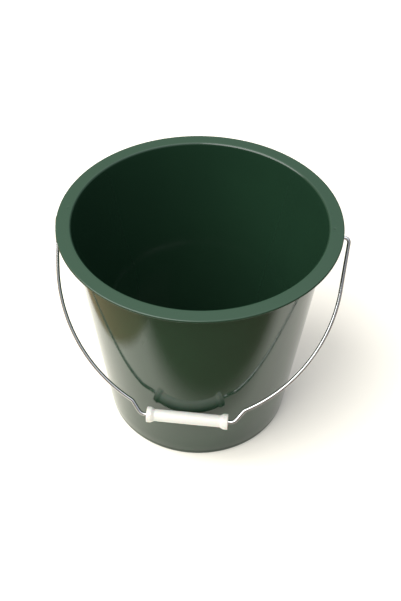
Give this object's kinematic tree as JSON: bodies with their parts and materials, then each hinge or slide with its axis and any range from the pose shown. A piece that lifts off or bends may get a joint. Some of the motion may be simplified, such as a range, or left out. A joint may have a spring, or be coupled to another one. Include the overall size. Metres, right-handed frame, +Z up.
{
  "type": "feed bucket",
  "caption": "Round tapered stable bucket with a wide flat rim, a wire bail that swings in ears under the rim, and a loose hand grip on the bail.",
  "frame": {"origin": "centre of the foot, on the ground", "axes": "+X along the bail's pivot axis, +Z up, and the bail hangs against the wall on the -Y side"},
  "size_m": [0.3184, 0.3056, 0.271],
  "materials": {
    "shell": "glossy injection-moulded polypropylene, dark green",
    "wire": "bright zinc-plated drawn wire",
    "grip": "satin injection-moulded plastic, off-white"
  },
  "bodies": {
    "bucket": {"bucket_shell": "shell"},
    "bail": {"bail_wire": "wire"},
    "grip": {"hand_grip": "grip"}
  },
  "joints": [
    {"name": "bail_swing", "type": "hinge", "parent": "bucket", "child": "bail", "pos_m": [0, 0, 0.26], "axis": [-1, 0, 0], "range_deg": [0, 287.5]},
    {"name": "grip_spin", "type": "hinge", "parent": "bail", "child": "grip", "pos_m": [0, -0.12547, 0.08886], "axis": [1, 0, 0], "continuous": true}
  ]
}
